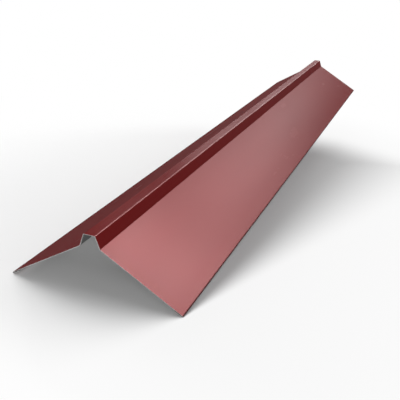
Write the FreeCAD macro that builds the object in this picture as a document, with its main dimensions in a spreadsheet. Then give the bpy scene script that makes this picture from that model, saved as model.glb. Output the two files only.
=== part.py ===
import FreeCAD, Part
import Sketcher
import math
import os

# A roof ridge cap: one strip of painted sheet steel, bent along its whole length.
# A raised bead with a flat top and leaning walls runs along the middle. A flange slopes
# down on each side of it, and the long edge of each flange is folded under as an open hem.
# X runs across the ridge, Y along it and Z up. The cap rests on its two folds at Z = 0,
# and the origin lies under the middle of the cap.

os.makedirs("parts", exist_ok=True)

doc = FreeCAD.newDocument("roof_ridge_cap")

# Sizes, in millimetres and degrees
driving_sizes = {
    "cap_length": 2000,
    "sheet_thickness": 0.5,
    # inside radius of the four bends of the bead
    "bend_radius": 1.5,
    # flat top of the bead, from corner to corner of the painted face
    "bead_top": 25,
    # sloping height of a bead wall on the painted face, and its lean from upright
    "bead_wall": 27.5,
    "bead_lean": 19.5,
    # painted face of a flange from the foot of the bead to the fold, and its fall from level
    "flange_width": 194,
    "flange_slope": 30.5,
    # the folded-under strip, from the fold to its cut edge, and the slot that stays open above it
    "hem_width": 20,
    "hem_gap": 2,
}

sheet = doc.addObject("Spreadsheet::Sheet", "sizes")
for row, (name, number) in enumerate(driving_sizes.items(), start=1):
    sheet.set("A%d" % row, name)
    sheet.set("B%d" % row, str(number))
    sheet.setAlias("B%d" % row, name)
doc.recompute()

# The same sizes as numbers, for drawing the section close to where its dimensions put it
thickness = sheet.sheet_thickness
inside_bend = sheet.bend_radius
outside_bend = inside_bend + thickness
inside_fold = sheet.hem_gap / 2
outside_fold = inside_fold + thickness
lean = math.radians(sheet.bead_lean)
slope = math.radians(sheet.flange_slope)


def point(x, z):
    return FreeCAD.Vector(x, z, 0)


# Directions in the section: along each face away from the ridge, and out of its painted side
level = point(1, 0)
up = point(0, 1)
down_wall = point(math.sin(lean), -math.cos(lean))
out_of_wall = point(math.cos(lean), math.sin(lean))
down_flange = point(math.cos(slope), -math.sin(slope))
out_of_flange = point(math.sin(slope), math.cos(slope))

# Corners of the painted face, where its flats would meet without their bends
foot_height = outside_fold + outside_fold * math.cos(slope)
foot_height += (sheet.flange_width - outside_fold) * math.sin(slope)
top_height = foot_height + sheet.bead_wall * math.cos(lean)
top_corner = point(sheet.bead_top / 2, top_height)
foot_corner = top_corner + down_wall * sheet.bead_wall

# Centres of the bends and of the fold
top_turn = math.pi / 2 - lean
foot_turn = math.pi / 2 - lean - slope
top_centre = top_corner - level * (outside_bend * math.tan(top_turn / 2)) - up * outside_bend
foot_centre = foot_corner - down_wall * (inside_bend * math.tan(foot_turn / 2)) + out_of_wall * inside_bend
fold_centre = foot_corner + down_flange * (sheet.flange_width - outside_fold) - out_of_flange * outside_fold
strip_end = fold_centre - down_flange * (sheet.hem_width - outside_fold)

cap = doc.addObject("PartDesign::Body", "ridge_cap")
cap.Label = "ridge_cap"
planes = {feature.Role: feature for feature in cap.Origin.OriginFeatures}

# Right half of the section, one sheet thick, drawn across the ridge
section = cap.newObject("Sketcher::SketchObject", "section")
section.AttachmentSupport = (planes["XZ_Plane"], [""])
section.MapMode = "FlatFace"


def add_flat(start, end):
    return section.addGeometry(Part.LineSegment(start, end), False)


def add_bend(centre, radius, first_angle, last_angle):
    circle = Part.Circle(centre, FreeCAD.Vector(0, 0, 1), radius)
    return section.addGeometry(Part.ArcOfCircle(circle, first_angle, last_angle), False)


def add_corner(place):
    return section.addGeometry(Part.Point(place), True)


wall_angles = (lean, math.pi / 2)
foot_angles = (math.pi + lean, 1.5 * math.pi - slope)
fold_angles = (-math.pi / 2 - slope, math.pi / 2 - slope)

# Painted face, from the middle of the bead's top to the fold and back to the strip's cut edge
top_outside = add_flat(point(0, top_height), top_centre + up * outside_bend)
top_bend_outside = add_bend(top_centre, outside_bend, *wall_angles)
wall_outside = add_flat(foot_centre - out_of_wall * inside_bend, top_centre + out_of_wall * outside_bend)
foot_bend_outside = add_bend(foot_centre, inside_bend, *foot_angles)
flange_outside = add_flat(fold_centre + out_of_flange * outside_fold, foot_centre - out_of_flange * inside_bend)
fold_outside = add_bend(fold_centre, outside_fold, *fold_angles)
strip_outside = add_flat(fold_centre - out_of_flange * outside_fold, strip_end - out_of_flange * outside_fold)
cut_edge = add_flat(strip_end - out_of_flange * outside_fold, strip_end - out_of_flange * inside_fold)

# Bare back of the sheet, from the cut edge round the fold's slot and up under the bead
strip_inside = add_flat(strip_end - out_of_flange * inside_fold, fold_centre - out_of_flange * inside_fold)
fold_inside = add_bend(fold_centre, inside_fold, *fold_angles)
flange_inside = add_flat(fold_centre + out_of_flange * inside_fold, foot_centre - out_of_flange * outside_bend)
foot_bend_inside = add_bend(foot_centre, outside_bend, *foot_angles)
wall_inside = add_flat(foot_centre - out_of_wall * outside_bend, top_centre + out_of_wall * inside_bend)
top_bend_inside = add_bend(top_centre, inside_bend, *wall_angles)
top_inside = add_flat(top_centre + up * inside_bend, point(0, top_height - thickness))
middle = add_flat(point(0, top_height - thickness), point(0, top_height))

top_mark = add_corner(top_corner)
foot_mark = add_corner(foot_corner)

# The sketch's own numbers for the places on a line or bend, and for its origin and axes
START, END, CENTRE = range(1, 4)
ORIGIN = (-1, 1)
LEVEL_AXIS, UPRIGHT_AXIS = range(-1, -3, -1)


def tie(kind, *places):
    return section.addConstraint(Sketcher.Constraint(kind, *places))


# Every flat runs smoothly into its bend
tie("Tangent", top_outside, END, top_bend_outside, END)
tie("Tangent", wall_outside, END, top_bend_outside, START)
tie("Tangent", wall_outside, START, foot_bend_outside, START)
tie("Tangent", flange_outside, END, foot_bend_outside, END)
tie("Tangent", flange_outside, START, fold_outside, END)
tie("Tangent", strip_outside, START, fold_outside, START)
tie("Tangent", strip_inside, END, fold_inside, START)
tie("Tangent", flange_inside, START, fold_inside, END)
tie("Tangent", flange_inside, END, foot_bend_inside, END)
tie("Tangent", wall_inside, START, foot_bend_inside, START)
tie("Tangent", wall_inside, END, top_bend_inside, START)
tie("Tangent", top_inside, START, top_bend_inside, END)

# The two faces of the sheet share their bend centres and close at the cut edge and the middle
tie("Coincident", top_bend_outside, CENTRE, top_bend_inside, CENTRE)
tie("Coincident", foot_bend_outside, CENTRE, foot_bend_inside, CENTRE)
tie("Coincident", fold_outside, CENTRE, fold_inside, CENTRE)
tie("Coincident", strip_outside, END, cut_edge, START)
tie("Coincident", cut_edge, END, strip_inside, START)
tie("Coincident", top_inside, END, middle, START)
tie("Coincident", middle, END, top_outside, START)
tie("PointOnObject", top_outside, START, UPRIGHT_AXIS)
tie("PointOnObject", top_inside, END, UPRIGHT_AXIS)
tie("Horizontal", top_outside)
tie("Horizontal", top_inside)
tie("Parallel", strip_outside, flange_outside)
tie("Parallel", strip_inside, flange_inside)
tie("Perpendicular", cut_edge, strip_outside)

# The corner marks sit where the painted flats would meet
tie("PointOnObject", top_mark, START, top_outside)
tie("PointOnObject", top_mark, START, wall_outside)
tie("PointOnObject", foot_mark, START, wall_outside)
tie("PointOnObject", foot_mark, START, flange_outside)


def size(name, formula, kind, *places):
    """Dimension of the section, tied to the sheet of sizes."""
    section.renameConstraint(tie(kind, *places), name)
    section.setExpression("Constraints." + name, formula)


size("top_bend_inside_radius", "sizes.bend_radius", "Radius", top_bend_inside, inside_bend)
size("top_bend_outside_radius", "sizes.bend_radius + sizes.sheet_thickness", "Radius", top_bend_outside, outside_bend)
size("foot_bend_outside_radius", "sizes.bend_radius", "Radius", foot_bend_outside, inside_bend)
size("foot_bend_inside_radius", "sizes.bend_radius + sizes.sheet_thickness", "Radius", foot_bend_inside, outside_bend)
size("fold_inside_radius", "sizes.hem_gap / 2", "Radius", fold_inside, inside_fold)
size("fold_outside_radius", "sizes.hem_gap / 2 + sizes.sheet_thickness", "Radius", fold_outside, outside_fold)
size("wall_angle", "(90 + sizes.bead_lean) * 1 deg", "Angle", wall_outside, math.pi / 2 + lean)
size("flange_angle", "(180 - sizes.flange_slope) * 1 deg", "Angle", flange_outside, math.pi - slope)
size("half_top", "sizes.bead_top / 2", "DistanceX", *ORIGIN, top_mark, START, sheet.bead_top / 2)
size("wall_height", "sizes.bead_wall", "Distance", top_mark, START, foot_mark, START, sheet.bead_wall)
size(
    "flange_flat",
    "sizes.flange_width - sizes.hem_gap / 2 - sizes.sheet_thickness",
    "Distance", foot_mark, START, flange_outside, START, sheet.flange_width - outside_fold,
)
size(
    "strip_flat",
    "sizes.hem_width - sizes.hem_gap / 2 - sizes.sheet_thickness",
    "Distance", strip_outside, START, strip_outside, END, sheet.hem_width - outside_fold,
)
# The fold's lowest point touches the floor
size(
    "fold_above_floor",
    "sizes.hem_gap / 2 + sizes.sheet_thickness",
    "DistanceY", *ORIGIN, fold_outside, CENTRE, outside_fold,
)
doc.recompute()

# The bent strip runs along the ridge, half of its length to each side of the origin
half_cap = cap.newObject("PartDesign::Pad", "half_cap")
half_cap.Profile = section
half_cap.SideType = "Symmetric"
half_cap.setExpression("Length", "sizes.cap_length")
doc.recompute()

# The other half of the section is the same, seen in a mirror along the ridge
whole_cap = cap.newObject("PartDesign::Mirrored", "whole_cap")
whole_cap.Originals = [half_cap]
whole_cap.MirrorPlane = (planes["YZ_Plane"], [""])
cap.Tip = whole_cap
cap.Placement = FreeCAD.Placement(FreeCAD.Vector(0, 0, 0), FreeCAD.Rotation())
doc.recompute()

for item in doc.Objects:
    if "Invalid" in item.State or "Error" in item.State:
        raise RuntimeError("%s did not build: %s" % (item.Name, item.State))
if not section.FullyConstrained:
    raise RuntimeError("the section has a dimension missing")

for body in [cap]:
    shape = body.Shape
    if shape.isNull() or not shape.isValid():
        raise RuntimeError("%s has no valid shape" % body.Label)
    if len(shape.Solids) != 1:
        raise RuntimeError("%s is not one piece of sheet" % body.Label)
    shape.exportStep("parts/%s.step" % body.Label)
    box = shape.BoundBox
    print("%s: %.1f x %.1f x %.1f mm, volume %.0f mm3, from x %.2f y %.2f z %.2f" % (
        body.Label, box.XLength, box.YLength, box.ZLength, shape.Volume, box.XMin, box.YMin, box.ZMin,
    ))
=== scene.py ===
import math

import bpy
import numpy as np
from mathutils import Euler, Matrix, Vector


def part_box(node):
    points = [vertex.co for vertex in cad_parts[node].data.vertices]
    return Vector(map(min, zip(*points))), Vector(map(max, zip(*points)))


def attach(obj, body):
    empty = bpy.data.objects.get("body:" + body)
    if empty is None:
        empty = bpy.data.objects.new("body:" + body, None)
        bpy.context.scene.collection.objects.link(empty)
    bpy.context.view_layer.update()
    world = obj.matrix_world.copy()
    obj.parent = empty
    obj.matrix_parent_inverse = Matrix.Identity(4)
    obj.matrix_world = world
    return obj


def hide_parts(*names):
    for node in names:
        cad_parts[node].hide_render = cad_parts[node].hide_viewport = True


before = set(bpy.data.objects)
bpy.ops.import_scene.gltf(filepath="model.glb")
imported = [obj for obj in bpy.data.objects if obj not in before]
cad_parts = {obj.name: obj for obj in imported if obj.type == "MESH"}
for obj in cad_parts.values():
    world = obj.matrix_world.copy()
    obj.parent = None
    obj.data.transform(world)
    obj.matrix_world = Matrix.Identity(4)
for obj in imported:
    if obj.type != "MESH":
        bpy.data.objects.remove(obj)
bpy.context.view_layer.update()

# Ridge cap. One strip of 0.5 mm coil-coated sheet steel, bent along its whole length on a
# folding bench: a flat-topped bead in the middle, a flange falling away on each side, and the
# long edges folded under. It lies loose on its two folds. Lengths are in metres.
CAP_LOW, CAP_HIGH = (np.array(corner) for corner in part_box("ridge_cap"))
SHEET = 0.0005
INSIDE_BEND = 0.0015
BEAD_TOP = 0.025
BEAD_WALL = 0.0275
BEAD_LEAN = math.radians(19.5)
FLANGE_FALL = math.radians(30.5)
HEM_WIDTH = 0.020
HEM_SLOT = 0.002
# The folding bench's beam rubs the coat round the bead's right upper bend, and this far beside it
RUB_BESIDE = 0.0016
# Round each hem's fold, and this far beside it on the flange, the coat is duller and its red
# is darkened as painted shade for the fold's shadowed side
FOLD_SHADE_BESIDE = 0.0012
# Numbers of the finishes in the mesh
PAINTED, BACK, CUT, FOLD_PAINTED_SHADE, RUBBED = range(5)
# Turn of one step round a bend, in radians, and the longest step along a flat
BEND_STEP = 0.10
FLAT_STEP = 0.012
# Narrow step at each end of a flat, which keeps the flat's shading straight beside its bend
END_STEP = 0.0004
# Cross sections along the cap, both ends among them
SECTIONS = 81
# Edges that turn more than this stay crisp
CRISP_FROM = math.radians(40)


def bend_allowance(turn, radius):
    """Length from a bend's sharp corner back to where its flat starts: radius times tan(turn / 2)."""
    return radius * math.tan(turn / 2)


def half_strip():
    """Flats and bends of the strip from the middle of the bead's top to the hem's cut edge.

    Each row is (length along the middle of the sheet, turn to the right, finish of the painted side). A
    flat turns nothing, and a bend's length is its turn times the radius at the middle of the sheet.
    """
    top_turn = math.pi / 2 - BEAD_LEAN
    foot_turn = top_turn - FLANGE_FALL
    fold_outside = HEM_SLOT / 2 + SHEET
    bend_middle = INSIDE_BEND + SHEET / 2
    fold_middle = HEM_SLOT / 2 + SHEET / 2
    foot_x = BEAD_TOP / 2 + BEAD_WALL * math.sin(BEAD_LEAN)
    # The flange takes what is left of the cap's half width
    centre_x = CAP_HIGH[0] - fold_outside
    flange_to_fold = (centre_x - foot_x + fold_outside * math.sin(FLANGE_FALL)) / math.cos(FLANGE_FALL)
    top_back = bend_allowance(top_turn, INSIDE_BEND + SHEET)
    foot_back = bend_allowance(foot_turn, INSIDE_BEND)
    return (
        (BEAD_TOP / 2 - top_back - RUB_BESIDE, 0, PAINTED),
        (RUB_BESIDE, 0, RUBBED),
        (top_turn * bend_middle, top_turn, RUBBED),
        (BEAD_WALL - top_back - foot_back, 0, PAINTED),
        (foot_turn * bend_middle, -foot_turn, PAINTED),
        # Beside and round each fold the red is darkened as painted shade
        (flange_to_fold - foot_back - FOLD_SHADE_BESIDE, 0, PAINTED),
        (FOLD_SHADE_BESIDE, 0, FOLD_PAINTED_SHADE),
        (math.pi * fold_middle, math.pi, FOLD_PAINTED_SHADE),
        (HEM_WIDTH - fold_outside, 0, PAINTED),
    )


def spread(length, turn):
    """Even steps along one flat or bend, closer in bends, and a narrow step at each end of a flat."""
    if turn:
        steps = np.full(round(abs(turn) / BEND_STEP), length)
        return steps / len(steps)
    inner = max(2, round(length / FLAT_STEP))
    return np.concatenate([[END_STEP], np.full(inner, (length - 2 * END_STEP) / inner), [END_STEP]])


def section_across(cap_top):
    """Middle line of the sheet across the ridge, and the direction out of its painted side.

    The strip's heading turns evenly along each bend and not at all along a flat. A step's chord is
    its length times sin(turn / 2) / (turn / 2), at the heading half way along it, and the running
    sum of the chords is the line. Also gives the finish of each step's painted side.
    """
    steps, turns, finishes = [], [], []
    for length, turn, finish in half_strip():
        ds = spread(length, turn)
        steps.append(ds)
        turns.append(np.full(len(ds), turn / len(ds)))
        finishes.append(np.full(len(ds), finish))
    steps, turns, finishes = (np.concatenate(rows) for rows in (steps, turns, finishes))
    heading = np.concatenate([[0], np.cumsum(turns)])
    half_way = heading[:-1] + turns / 2
    chord = steps * np.sinc(turns / 2 / np.pi)
    x = np.concatenate([[0], np.cumsum(chord * np.cos(half_way))])
    z = np.concatenate([[0], np.cumsum(-chord * np.sin(half_way))]) + cap_top - SHEET / 2
    line = np.stack([x, z], axis=1)
    outward = np.stack([np.sin(heading), np.cos(heading)], axis=1)
    # The left half is the right half turned over
    mirror = np.array([-1, 1])
    line = np.concatenate([line[:0:-1] * mirror, line])
    outward = np.concatenate([outward[:0:-1] * mirror, outward])
    # Its upper bend is folded clear of the beam, so the coat there isn't rubbed
    left_finishes = np.where(finishes == RUBBED, PAINTED, finishes)[::-1]
    return line, outward, np.concatenate([left_finishes, finishes])


def bent_sheet():
    """Closed mesh of the bent strip: the section carried along the ridge, as two skins.

    Corner (side, i, j) lies half a sheet from line[j] at length y[i], along outward[j] on the painted
    side and against it on the back. The two skins are joined at the long cut edges and at the two
    end cuts. Each face keeps the number of its finish.
    """
    line, outward, painted_finish = section_across(CAP_HIGH[2])
    y = np.linspace(CAP_LOW[1], CAP_HIGH[1], SECTIONS)
    rows, columns = len(y), len(line)
    corners = np.empty((2, rows, columns, 3))
    for side, sign in ((0, 1), (1, -1)):
        skin = line + sign * outward * SHEET / 2
        corners[side, :, :, 0] = skin[:, 0]
        corners[side, :, :, 1] = y[:, None]
        corners[side, :, :, 2] = skin[:, 1]
    number = np.arange(2 * rows * columns).reshape(2, rows, columns)

    def quads(a, b, c, d):
        return np.stack([a, b, c, d], axis=-1).reshape(-1, 4)

    painted, back = number
    outer = quads(painted[:-1, :-1], painted[:-1, 1:], painted[1:, 1:], painted[1:, :-1])
    inner = quads(back[:-1, :-1], back[1:, :-1], back[1:, 1:], back[:-1, 1:])
    left_cut = quads(painted[:-1, 0], painted[1:, 0], back[1:, 0], back[:-1, 0])
    right_cut = quads(painted[:-1, -1], back[:-1, -1], back[1:, -1], painted[1:, -1])
    near_cut = quads(painted[0, :-1], back[0, :-1], back[0, 1:], painted[0, 1:])
    far_cut = quads(painted[-1, :-1], painted[-1, 1:], back[-1, 1:], back[-1, :-1])
    cut = np.concatenate([left_cut, right_cut, near_cut, far_cut])
    faces = np.concatenate([outer, inner, cut])
    finish = np.repeat([PAINTED, BACK, CUT], [len(outer), len(inner), len(cut)])
    finish[:len(outer)] = np.tile(painted_finish, rows - 1)
    mesh = bpy.data.meshes.new("bent_ridge_cap")
    mesh.from_pydata(corners.reshape(-1, 3), [], faces.tolist())
    mesh.polygons.foreach_set("material_index", finish.astype(np.int32))
    mesh.polygons.foreach_set("use_smooth", finish != CUT)
    # The sheared edges stay crisp beside the smooth skins
    mesh.set_sharp_from_angle(angle=CRISP_FROM)
    mesh.update()
    return mesh


def new_material(name):
    """Material with one Principled shader; returns it, its nodes, its links and the shader."""
    material = bpy.data.materials.new(name)
    material.use_nodes = True
    nodes, links = material.node_tree.nodes, material.node_tree.links
    return material, nodes, links, nodes["Principled BSDF"]


def object_noise(nodes, links, scale, detail, stretch=(1, 1, 1)):
    """Noise in the piece's own metres, drawn out along an axis where stretch is below 1."""
    place = nodes.new("ShaderNodeTexCoord")
    mapping = nodes.new("ShaderNodeMapping")
    mapping.inputs["Scale"].default_value = stretch
    noise = nodes.new("ShaderNodeTexNoise")
    noise.inputs["Scale"].default_value = scale
    noise.inputs["Detail"].default_value = detail
    links.new(place.outputs["Object"], mapping.inputs["Vector"])
    links.new(mapping.outputs["Vector"], noise.inputs["Vector"])
    return noise.outputs["Fac"]


# Nearly all of a noise's values lie between these two
NOISE_RANGE = (0.3, 0.7)


def between(nodes, links, factor, low, high):
    """Number that runs from low to high as the noise runs over its range."""
    ramp = nodes.new("ShaderNodeMapRange")
    for name, number in zip(("From Min", "From Max", "To Min", "To Max"), (*NOISE_RANGE, low, high)):
        ramp.inputs[name].default_value = number
    links.new(factor, ramp.inputs["Value"])
    return ramp.outputs["Result"]


def blended(nodes, links, factor, first, second):
    """Colour that goes from first to second with the factor."""
    mix = nodes.new("ShaderNodeMix")
    mix.data_type = "RGBA"
    mix.inputs["A"].default_value = (*first, 1)
    mix.inputs["B"].default_value = (*second, 1)
    links.new(factor, mix.inputs["Factor"])
    return mix.outputs["Result"]


# Deep wine red, between its darkest and its lightest patches
WINE_RED = ((0.105, 0.0044, 0.0047), (0.115, 0.0048, 0.0051))
# The same red darkened round the hem folds: painted shade for the folds' shadowed sides
PAINTED_FOLD_SHADE_RED = ((0.052, 0.0036, 0.0039), (0.062, 0.0042, 0.0045))
# Roughness of the pigment, from its smoothest to its roughest patches
SEMI_GLOSS = (0.23, 0.28)
DULLED = (0.40, 0.50)
# The clear skin on the pigment. Its index is high, so that it mirrors the pale studio at steep
# angles too.
SKIN_INDEX = 2.5
SKIN_ROUGHNESS = 0.25
# Orange peel: waves to the metre, their height, and how much of it shows
PEEL_SCALE = 900
PEEL_HEIGHT = 0.00002
PEEL_SHARE = 0.05


def stoved_coat(name, reds, roughness, gloss, metal):
    """Stoved polyester coat: semi-gloss, uneven along the strip, with the coating line's orange peel.

    gloss is the clear skin's weight, and metal the share of light that the pigment mirrors in red.
    """
    material, nodes, links, shader = new_material(name)
    patches = object_noise(nodes, links, scale=6, detail=3, stretch=(1, 0.2, 1))
    drift = between(nodes, links, patches, 0, 1)
    links.new(blended(nodes, links, drift, *reds), shader.inputs["Base Color"])
    flow = object_noise(nodes, links, scale=18, detail=4, stretch=(1, 0.3, 1))
    links.new(between(nodes, links, flow, *roughness), shader.inputs["Roughness"])
    peel = nodes.new("ShaderNodeBump")
    peel.inputs["Strength"].default_value = PEEL_SHARE
    peel.inputs["Distance"].default_value = PEEL_HEIGHT
    links.new(object_noise(nodes, links, PEEL_SCALE, detail=2), peel.inputs["Height"])
    links.new(peel.outputs["Normal"], shader.inputs["Normal"])
    links.new(peel.outputs["Normal"], shader.inputs["Coat Normal"])
    shader.inputs["Metallic"].default_value = metal
    shader.inputs["Specular IOR Level"].default_value = 0.0
    shader.inputs["Coat Weight"].default_value = gloss
    shader.inputs["Coat IOR"].default_value = SKIN_INDEX
    shader.inputs["Coat Roughness"].default_value = SKIN_ROUGHNESS
    return material


def wine_red_coat():
    """The coat as it leaves the coating line."""
    return stoved_coat("wine_red_coat", WINE_RED, SEMI_GLOSS, gloss=0.03, metal=0.06)


def fold_painted_shade_coat():
    """The same coat round the tight fold of a hem, where it is stretched and duller, and where its red
    is darkened as painted shade.
    """
    return stoved_coat("fold_painted_shade_coat", PAINTED_FOLD_SHADE_RED, DULLED, gloss=0.01, metal=0.02)


def rubbed_coat():
    """The same coat round the bead's right upper bend, which the folding bench rubs glossier."""
    return stoved_coat("rubbed_coat", WINE_RED, SEMI_GLOSS, gloss=0.08, metal=0.10)


BACK_GREY = ((0.22, 0.225, 0.22), (0.26, 0.265, 0.26))
BACK_ROUGHNESS = (0.50, 0.62)


def grey_back_coat():
    """Thin epoxy coat on the back of the sheet: light grey, flat, a little uneven."""
    material, nodes, links, shader = new_material("grey_back_coat")
    patches = object_noise(nodes, links, scale=40, detail=5, stretch=(1, 0.15, 1))
    drift = between(nodes, links, patches, 0, 1)
    links.new(blended(nodes, links, drift, *BACK_GREY), shader.inputs["Base Color"])
    flow = object_noise(nodes, links, scale=120, detail=3)
    links.new(between(nodes, links, flow, *BACK_ROUGHNESS), shader.inputs["Roughness"])
    return material


SHEARED_METAL = ((0.80, 0.80, 0.79), (0.92, 0.92, 0.91))


def cut_steel():
    """Sheared edge of the sheet: bright zinc and steel with fine shear marks across its thickness."""
    material, nodes, links, shader = new_material("cut_steel")
    shear_marks = object_noise(nodes, links, scale=2500, detail=2, stretch=(1, 1, 0.2))
    marks = between(nodes, links, shear_marks, 0, 1)
    links.new(blended(nodes, links, marks, *SHEARED_METAL), shader.inputs["Base Color"])
    shader.inputs["Metallic"].default_value = 0.3
    shader.inputs["Roughness"].default_value = 0.45
    return material


cap_mesh = bent_sheet()
# In the order of the finishes' numbers
for finish in (wine_red_coat(), grey_back_coat(), cut_steel(), fold_painted_shade_coat(), rubbed_coat()):
    cap_mesh.materials.append(finish)
cap = bpy.data.objects.new("bent_ridge_cap", cap_mesh)
bpy.context.scene.collection.objects.link(cap)
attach(cap, "root")
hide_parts("ridge_cap")

# Studio floor. A pale matt sheet that takes the cap's soft shadow. Away from the cap it runs out
# into plain white, as a backdrop does. Near the cap, shaped shares of that white are painted
# light, which lighten the shadow and take parts of it away.
FLOOR_HALF = 12.0
FLOOR_PALE = 0.85
floor_mesh = bpy.data.meshes.new("studio_floor")
floor_corners = FLOOR_HALF * np.array([[-1, -1, 0], [1, -1, 0], [1, 1, 0], [-1, 1, 0]])
floor_mesh.from_pydata(floor_corners, [], [(0, 1, 2, 3)])
floor = bpy.data.objects.new("studio_floor", floor_mesh)
bpy.context.scene.collection.objects.link(floor)
floor_paint, floor_nodes, floor_links, floor_shader = new_material("floor_white")
floor_shader.inputs["Base Color"].default_value = (FLOOR_PALE, FLOOR_PALE, FLOOR_PALE, 1)
floor_shader.inputs["Roughness"].default_value = 0.9
floor_shader.inputs["Specular IOR Level"].default_value = 0.0
floor_mesh.materials.append(floor_paint)


def seen_directly(nodes, links):
    """1 for what is seen straight on, in a reflection or through glass, and 0 for all other light."""
    ray = nodes.new("ShaderNodeLightPath")
    value = ray.outputs["Is Camera Ray"]
    for other in ("Is Glossy Ray", "Is Transmission Ray"):
        either = nodes.new("ShaderNodeMath")
        either.operation = "MAXIMUM"
        links.new(value, either.inputs[0])
        links.new(ray.outputs[other], either.inputs[1])
        value = either.outputs["Value"]
    return value


# The floor's own shading is nearly whole beside the near half of the cap, along this length of it.
# From SHADE_END to WHITE_FROM metres away painted white takes it over, and distances across the cap
# count for less.
SHADED_Y = (-0.87, -0.15)
SHADE_END, WHITE_FROM = 0.14, 0.40
ACROSS_SHARE = 0.34
# Farther out across the cap than SLANT_FROM, the shaded length is shorter by this share of the rest
SLANT_FROM, SLANT = 0.26, 0.4
# Share of plain white in the shading at first, and where it has run out. The last of the shading,
# which is the shadow under the cap's far half, is painted out with white between the two distances of
# OPEN.
SHADOW_WHITE = 0.03
NEAR_WHITE = 0.88
OPEN = (0.2, 0.75)
# Round the cap's near right corner, in front of it and to the right, painted white takes the
# shadow away and the floor is nearly white again.
# It turns white over the first pair of angles and stops over the second. They are in degrees round
# the corner, from the ridge's direction towards the right.
CORNER = (0.188, -1.0, 0)
CORNER_RIGHT = (4, 25)
CORNER_FRONT = (285, 200)
CORNER_WHITE = 0.88
# The turn is taken from this angle, so that its jump lies opposite, where nothing turns white
CORNER_MIDDLE = 135
# Under the cap, painted light keeps the floor at the grey of the near opening as it goes in, and
# makes it a little lighter close to the left fold. The last pair keeps this between the folds.
DEEP_IN_Y = (-0.95, -0.81)
DEEP_IN_WHITE = 0.13
BY_LEFT_FOLD_X = (-0.145, -0.175)
BY_LEFT_FOLD_WHITE = 0.13
BETWEEN_FOLDS_X = (0.182, 0.172)


def floor_vector(operation, first, second=(0, 0, 0)):
    """One step of arithmetic on a place on the floor. A dot product gives a number."""
    step = floor_nodes.new("ShaderNodeVectorMath")
    step.operation = operation
    floor_links.new(first, step.inputs[0])
    step.inputs[1].default_value = second
    return step.outputs["Value" if operation == "DOT_PRODUCT" else "Vector"]


def whiteness(measure, start, end, low, high):
    """Share of plain white, smoothly from low at the start to high at the end."""
    ramp = floor_nodes.new("ShaderNodeMapRange")
    ramp.interpolation_type = "SMOOTHSTEP"
    for name, number in (("From Min", start), ("From Max", end), ("To Min", low), ("To Max", high)):
        ramp.inputs[name].default_value = number
    floor_links.new(measure, ramp.inputs["Value"])
    return ramp.outputs["Result"]


def floor_math(operation, first, second=0):
    """One step of arithmetic on first and second, each a number or another step's result."""
    step = floor_nodes.new("ShaderNodeMath")
    step.operation = operation
    for socket, value in zip(step.inputs, (first, second)):
        if isinstance(value, (int, float)):
            socket.default_value = value
        else:
            floor_links.new(value, socket)
    return step.outputs["Value"]


def towards(angle):
    """Direction on the floor, at an angle in degrees from the ridge's direction towards the right."""
    return math.sin(math.radians(angle)), math.cos(math.radians(angle)), 0


ACROSS, ALONG = (1, 0, 0), (0, 1, 0)
floor_place = floor_nodes.new("ShaderNodeTexCoord").outputs["Object"]

# Distance from the shaded length: how far past its slanted end and how far across, the two taken as
# the short sides of a right triangle
shaded_middle = (SHADED_Y[0] + SHADED_Y[1]) / 2
shaded_half = (SHADED_Y[1] - SHADED_Y[0]) / 2
off_middle = floor_vector("ABSOLUTE", floor_vector("SUBTRACT", floor_place, (0, shaded_middle, 0)))
off_ridge = floor_vector("DOT_PRODUCT", off_middle, ACROSS)
straight = floor_vector("DOT_PRODUCT", off_middle, ALONG)
lengthened = floor_vector("DOT_PRODUCT", off_middle, (SLANT, 1, 0))
slanted = floor_math("SUBTRACT", lengthened, SLANT * SLANT_FROM)
past_end = floor_math("SUBTRACT", floor_math("MAXIMUM", straight, slanted), shaded_half)
past_squared = floor_math("POWER", floor_math("MAXIMUM", past_end, 0), 2)
across_squared = floor_math("POWER", floor_math("MULTIPLY", off_ridge, ACROSS_SHARE), 2)
distance = floor_math("SQRT", floor_math("ADD", past_squared, across_squared))

# What is left of the shading is what neither the near white nor the open takes away
near_white = whiteness(distance, SHADE_END, WHITE_FROM, SHADOW_WHITE, NEAR_WHITE)
open_white = whiteness(distance, *OPEN, 0, 1)
near_shade, open_shade = (floor_math("SUBTRACT", 1, share) for share in (near_white, open_white))
round_cap = floor_math("SUBTRACT", 1, floor_math("MULTIPLY", near_shade, open_shade))

from_corner = floor_vector("SUBTRACT", floor_place, CORNER)
ahead = floor_vector("DOT_PRODUCT", from_corner, towards(CORNER_MIDDLE))
aside = floor_vector("DOT_PRODUCT", from_corner, towards(CORNER_MIDDLE + 90))
corner_turn = floor_math("ARCTAN2", aside, ahead)
corner_right, corner_front = (
    whiteness(corner_turn, *(math.radians(angle - CORNER_MIDDLE) for angle in angles), 0, CORNER_WHITE)
    for angles in (CORNER_RIGHT, CORNER_FRONT)
)
corner_painted_light = floor_math("MINIMUM", corner_right, corner_front)

along = floor_vector("DOT_PRODUCT", floor_place, ALONG)
across = floor_vector("DOT_PRODUCT", floor_place, ACROSS)
deep_in = whiteness(along, *DEEP_IN_Y, 0, DEEP_IN_WHITE)
by_left_fold = whiteness(across, *BY_LEFT_FOLD_X, 0, BY_LEFT_FOLD_WHITE)
between_folds = whiteness(off_ridge, *BETWEEN_FOLDS_X, 0, 1)
under_cap_painted_light = floor_math("MULTIPLY", floor_math("MAXIMUM", deep_in, by_left_fold), between_folds)

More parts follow.
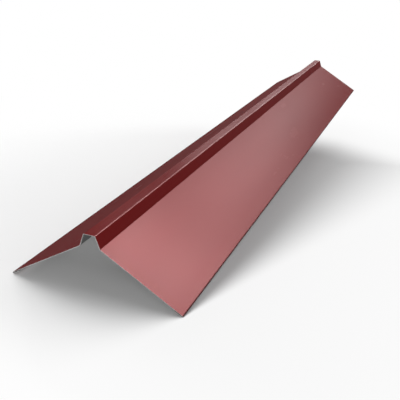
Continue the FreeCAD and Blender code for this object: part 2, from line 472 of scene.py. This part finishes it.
# Painted light: these shares of white glow on top of the floor's lamp-lit shading
white = floor_math("MAXIMUM", floor_math("MAXIMUM", round_cap, corner_painted_light), under_cap_painted_light)
white_share = floor_math("MULTIPLY", white, seen_directly(floor_nodes, floor_links))
plain_white = floor_nodes.new("ShaderNodeEmission")
plain_white.inputs["Color"].default_value = (1, 1, 1, 1)
floor_mix = floor_nodes.new("ShaderNodeMixShader")
floor_links.new(white_share, floor_mix.inputs["Fac"])
floor_links.new(floor_shader.outputs["BSDF"], floor_mix.inputs[1])
floor_links.new(plain_white.outputs["Emission"], floor_mix.inputs[2])
floor_links.new(floor_mix.outputs["Shader"], floor_nodes["Material Output"].inputs["Surface"])

# Studio light. A dim even room, and soft panels that light the cap, most of them far behind it,
# where its gloss mirrors them. The floor has panels of its own, the brightest low on the left, so
# that the shadow falls to the right.
ROOM_GLOW = 0.10
room = bpy.data.worlds.new("studio_room")
bpy.context.scene.world = room
room.use_nodes = True
room_nodes, room_links = room.node_tree.nodes, room.node_tree.links
room_light = room_nodes["Background"]
room_light.inputs["Color"].default_value = (1, 1, 1, 1)
white_or_dim = room_nodes.new("ShaderNodeMapRange")
white_or_dim.inputs["To Min"].default_value = ROOM_GLOW
white_or_dim.inputs["To Max"].default_value = 1.0
room_links.new(seen_directly(room_nodes, room_links), white_or_dim.inputs["Value"])
room_links.new(white_or_dim.outputs["Result"], room_light.inputs["Strength"])

lit_things = {}
for thing_name, thing in (("cap", cap), ("floor", floor)):
    lit_things[thing_name] = bpy.data.collections.new(thing_name + "_light")
    lit_things[thing_name].objects.link(thing)
# Name, what the panel lights, angle on the floor from the ridge's direction towards the right, angle
# above the floor, distance in metres, width and height in degrees, and the brightness of its face.
# The cap's panels are named for the face that mirrors them.
PANELS = (
    ("flange_18_43", "cap", 18, 43, 20, 6, 5, 71.1),
    ("flange_26_40", "cap", 26, 40, 20, 6, 5, 26.4),
    ("flange_33_36", "cap", 33, 36, 20, 6, 5, 16.6),
    ("flange_14_39", "cap", 14, 39, 20, 6, 5, 55.6),
    ("flange_22_36", "cap", 22, 36, 20, 6, 5, 70.4),
    ("flange_28_31", "cap", 28, 31, 20, 6, 5, 50.7),
    ("flange_22_29", "cap", 22, 29, 20, 6, 5, 19.9),
    ("flange_10_30", "cap", 10, 30, 20, 6, 5, 24.1),
    ("flange_15_28", "cap", 15, 28, 20, 6, 5, 19.9),
    ("flange_9_26", "cap", 9, 26, 20, 6, 5, 8.7),
    ("flange_13_23", "cap", 13, 23, 20, 6, 5, 18.8),
    ("flange_7_21", "cap", 7, 21, 20, 6, 5, 11.7),
    ("flange_11_19", "cap", 11, 19, 20, 6, 5, 1.7),
    ("flange_5_17", "cap", 5, 17, 20, 6, 5, 7.8),
    ("bead_top_38_29", "cap", -38, 29, 20, 6, 5, 1.9),
    ("bead_top_32_25", "cap", -32, 25, 20, 6, 5, 7.0),
    ("bead_top_27_22", "cap", -27, 22, 20, 6, 5, 1.8),
    ("bead_top_22_18", "cap", -22, 18, 20, 6, 5, 14.8),
    ("bead_top_17_15", "cap", -17, 15, 20, 6, 5, 11.2),
    ("bead_top_13_12", "cap", -13, 12, 20, 6, 5, 8.0),
    ("bead_top_10_9", "cap", -10, 9, 20, 6, 5, 3.5),
    ("bead_bend_15_38", "cap", -15, 38, 20, 6, 5, 50.0),
    ("bead_bend_10_29", "cap", -10, 29, 20, 6, 5, 45.0),
    ("bead_bend_7_22", "cap", -7, 22, 20, 6, 5, 28.0),
    ("bead_bend_5_16", "cap", -5, 16, 20, 6, 5, 18.0),
    ("bead_bend_right_30_27", "cap", 30, 27, 20, 6, 5, 8.0),
    ("bead_bend_right_21_20", "cap", 21, 20, 20, 6, 5, 3.0),
    ("front_177_20", "cap", 177, 20, 2.34, 14, 12, 9.7),
    ("front_120_30", "cap", 120, 30, 2.3, 14, 12, 8.0),
    ("floor_left_150_low", "floor", -150, 10, 12, 16, 10, 4.4),
    ("floor_left_125_mid", "floor", -125, 24, 12, 20, 14, 0.9),
    ("floor_left_90_low", "floor", -90, 10, 12, 16, 10, 9.9),
    ("floor_left_90_mid", "floor", -90, 24, 12, 20, 14, 3.4),
    ("floor_left_75_low", "floor", -75, 10, 12, 16, 10, 49.9),
    ("floor_left_75_mid", "floor", -75, 24, 12, 20, 14, 10.2),
    ("floor_left_60_low", "floor", -60, 10, 12, 16, 10, 53.4),
    ("floor_left_60_mid", "floor", -60, 24, 12, 20, 14, 7.8),
    ("floor_left_40_low", "floor", -40, 10, 12, 16, 10, 59.1),
    ("floor_left_40_mid", "floor", -40, 24, 12, 20, 14, 4.3),
    ("floor_left_15_low", "floor", -15, 10, 12, 16, 10, 8.5),
    ("floor_right_15_mid", "floor", 15, 24, 12, 20, 14, 1.9),
    ("floor_right_75_low", "floor", 75, 10, 12, 16, 10, 2.9),
    ("floor_right_75_mid", "floor", 75, 24, 12, 20, 14, 0.3),
    ("floor_right_130_low", "floor", 130, 10, 12, 16, 10, 5.7),
    ("floor_right_130_mid", "floor", 130, 24, 12, 20, 14, 2.3),
    ("floor_right_150_low", "floor", 150, 10, 12, 16, 10, 4.3),
    ("floor_right_150_mid", "floor", 150, 24, 12, 20, 14, 4.4),
    ("floor_right_180_low", "floor", 180, 10, 12, 16, 10, 13.8),
)
for name, lights, compass, height, away, wide, tall, brightness in PANELS:
    level, raised = math.cos(math.radians(height)), math.sin(math.radians(height))
    direction = level * Vector(towards(compass)) + Vector((0, 0, raised))
    lamp = bpy.data.lights.new(name, "AREA")
    lamp.shape = "RECTANGLE"
    lamp.size = 2 * away * math.tan(math.radians(wide / 2))
    lamp.size_y = 2 * away * math.tan(math.radians(tall / 2))
    # An evenly bright face gives off pi times its area times its brightness
    lamp.energy = math.pi * lamp.size * lamp.size_y * brightness
    panel = bpy.data.objects.new(name, lamp)
    panel.location = away * direction
    panel.rotation_euler = direction.to_track_quat("Z", "Y").to_euler()
    panel.visible_camera = False
    bpy.context.scene.collection.objects.link(panel)
    panel.light_linking.receiver_collection = lit_things[lights]

# Camera. It stands at the photograph's height and angle, in front of the cap's near end and to the
# right, and looks down along the ridge. Its place is in metres, its turns are in degrees, and its
# film and focal length are in millimetres.
CAMERA_PLACE = (0.5312, -1.7839, 0.6082)
CAMERA_TURNS = (66.238, -1.122, 22.409)
FILM_WIDTH, FOCAL_LENGTH = 36, 51.56
SEES_TO = 100
bpy.context.scene.view_settings.view_transform = "Standard"
lens = bpy.data.cameras.new("camera")
lens.sensor_width = FILM_WIDTH
lens.lens = FOCAL_LENGTH
lens.clip_end = SEES_TO
camera = bpy.data.objects.new("camera", lens)
camera.location = CAMERA_PLACE
camera.rotation_euler = Euler([math.radians(angle) for angle in CAMERA_TURNS], "XYZ")
bpy.context.scene.collection.objects.link(camera)
bpy.context.scene.camera = camera
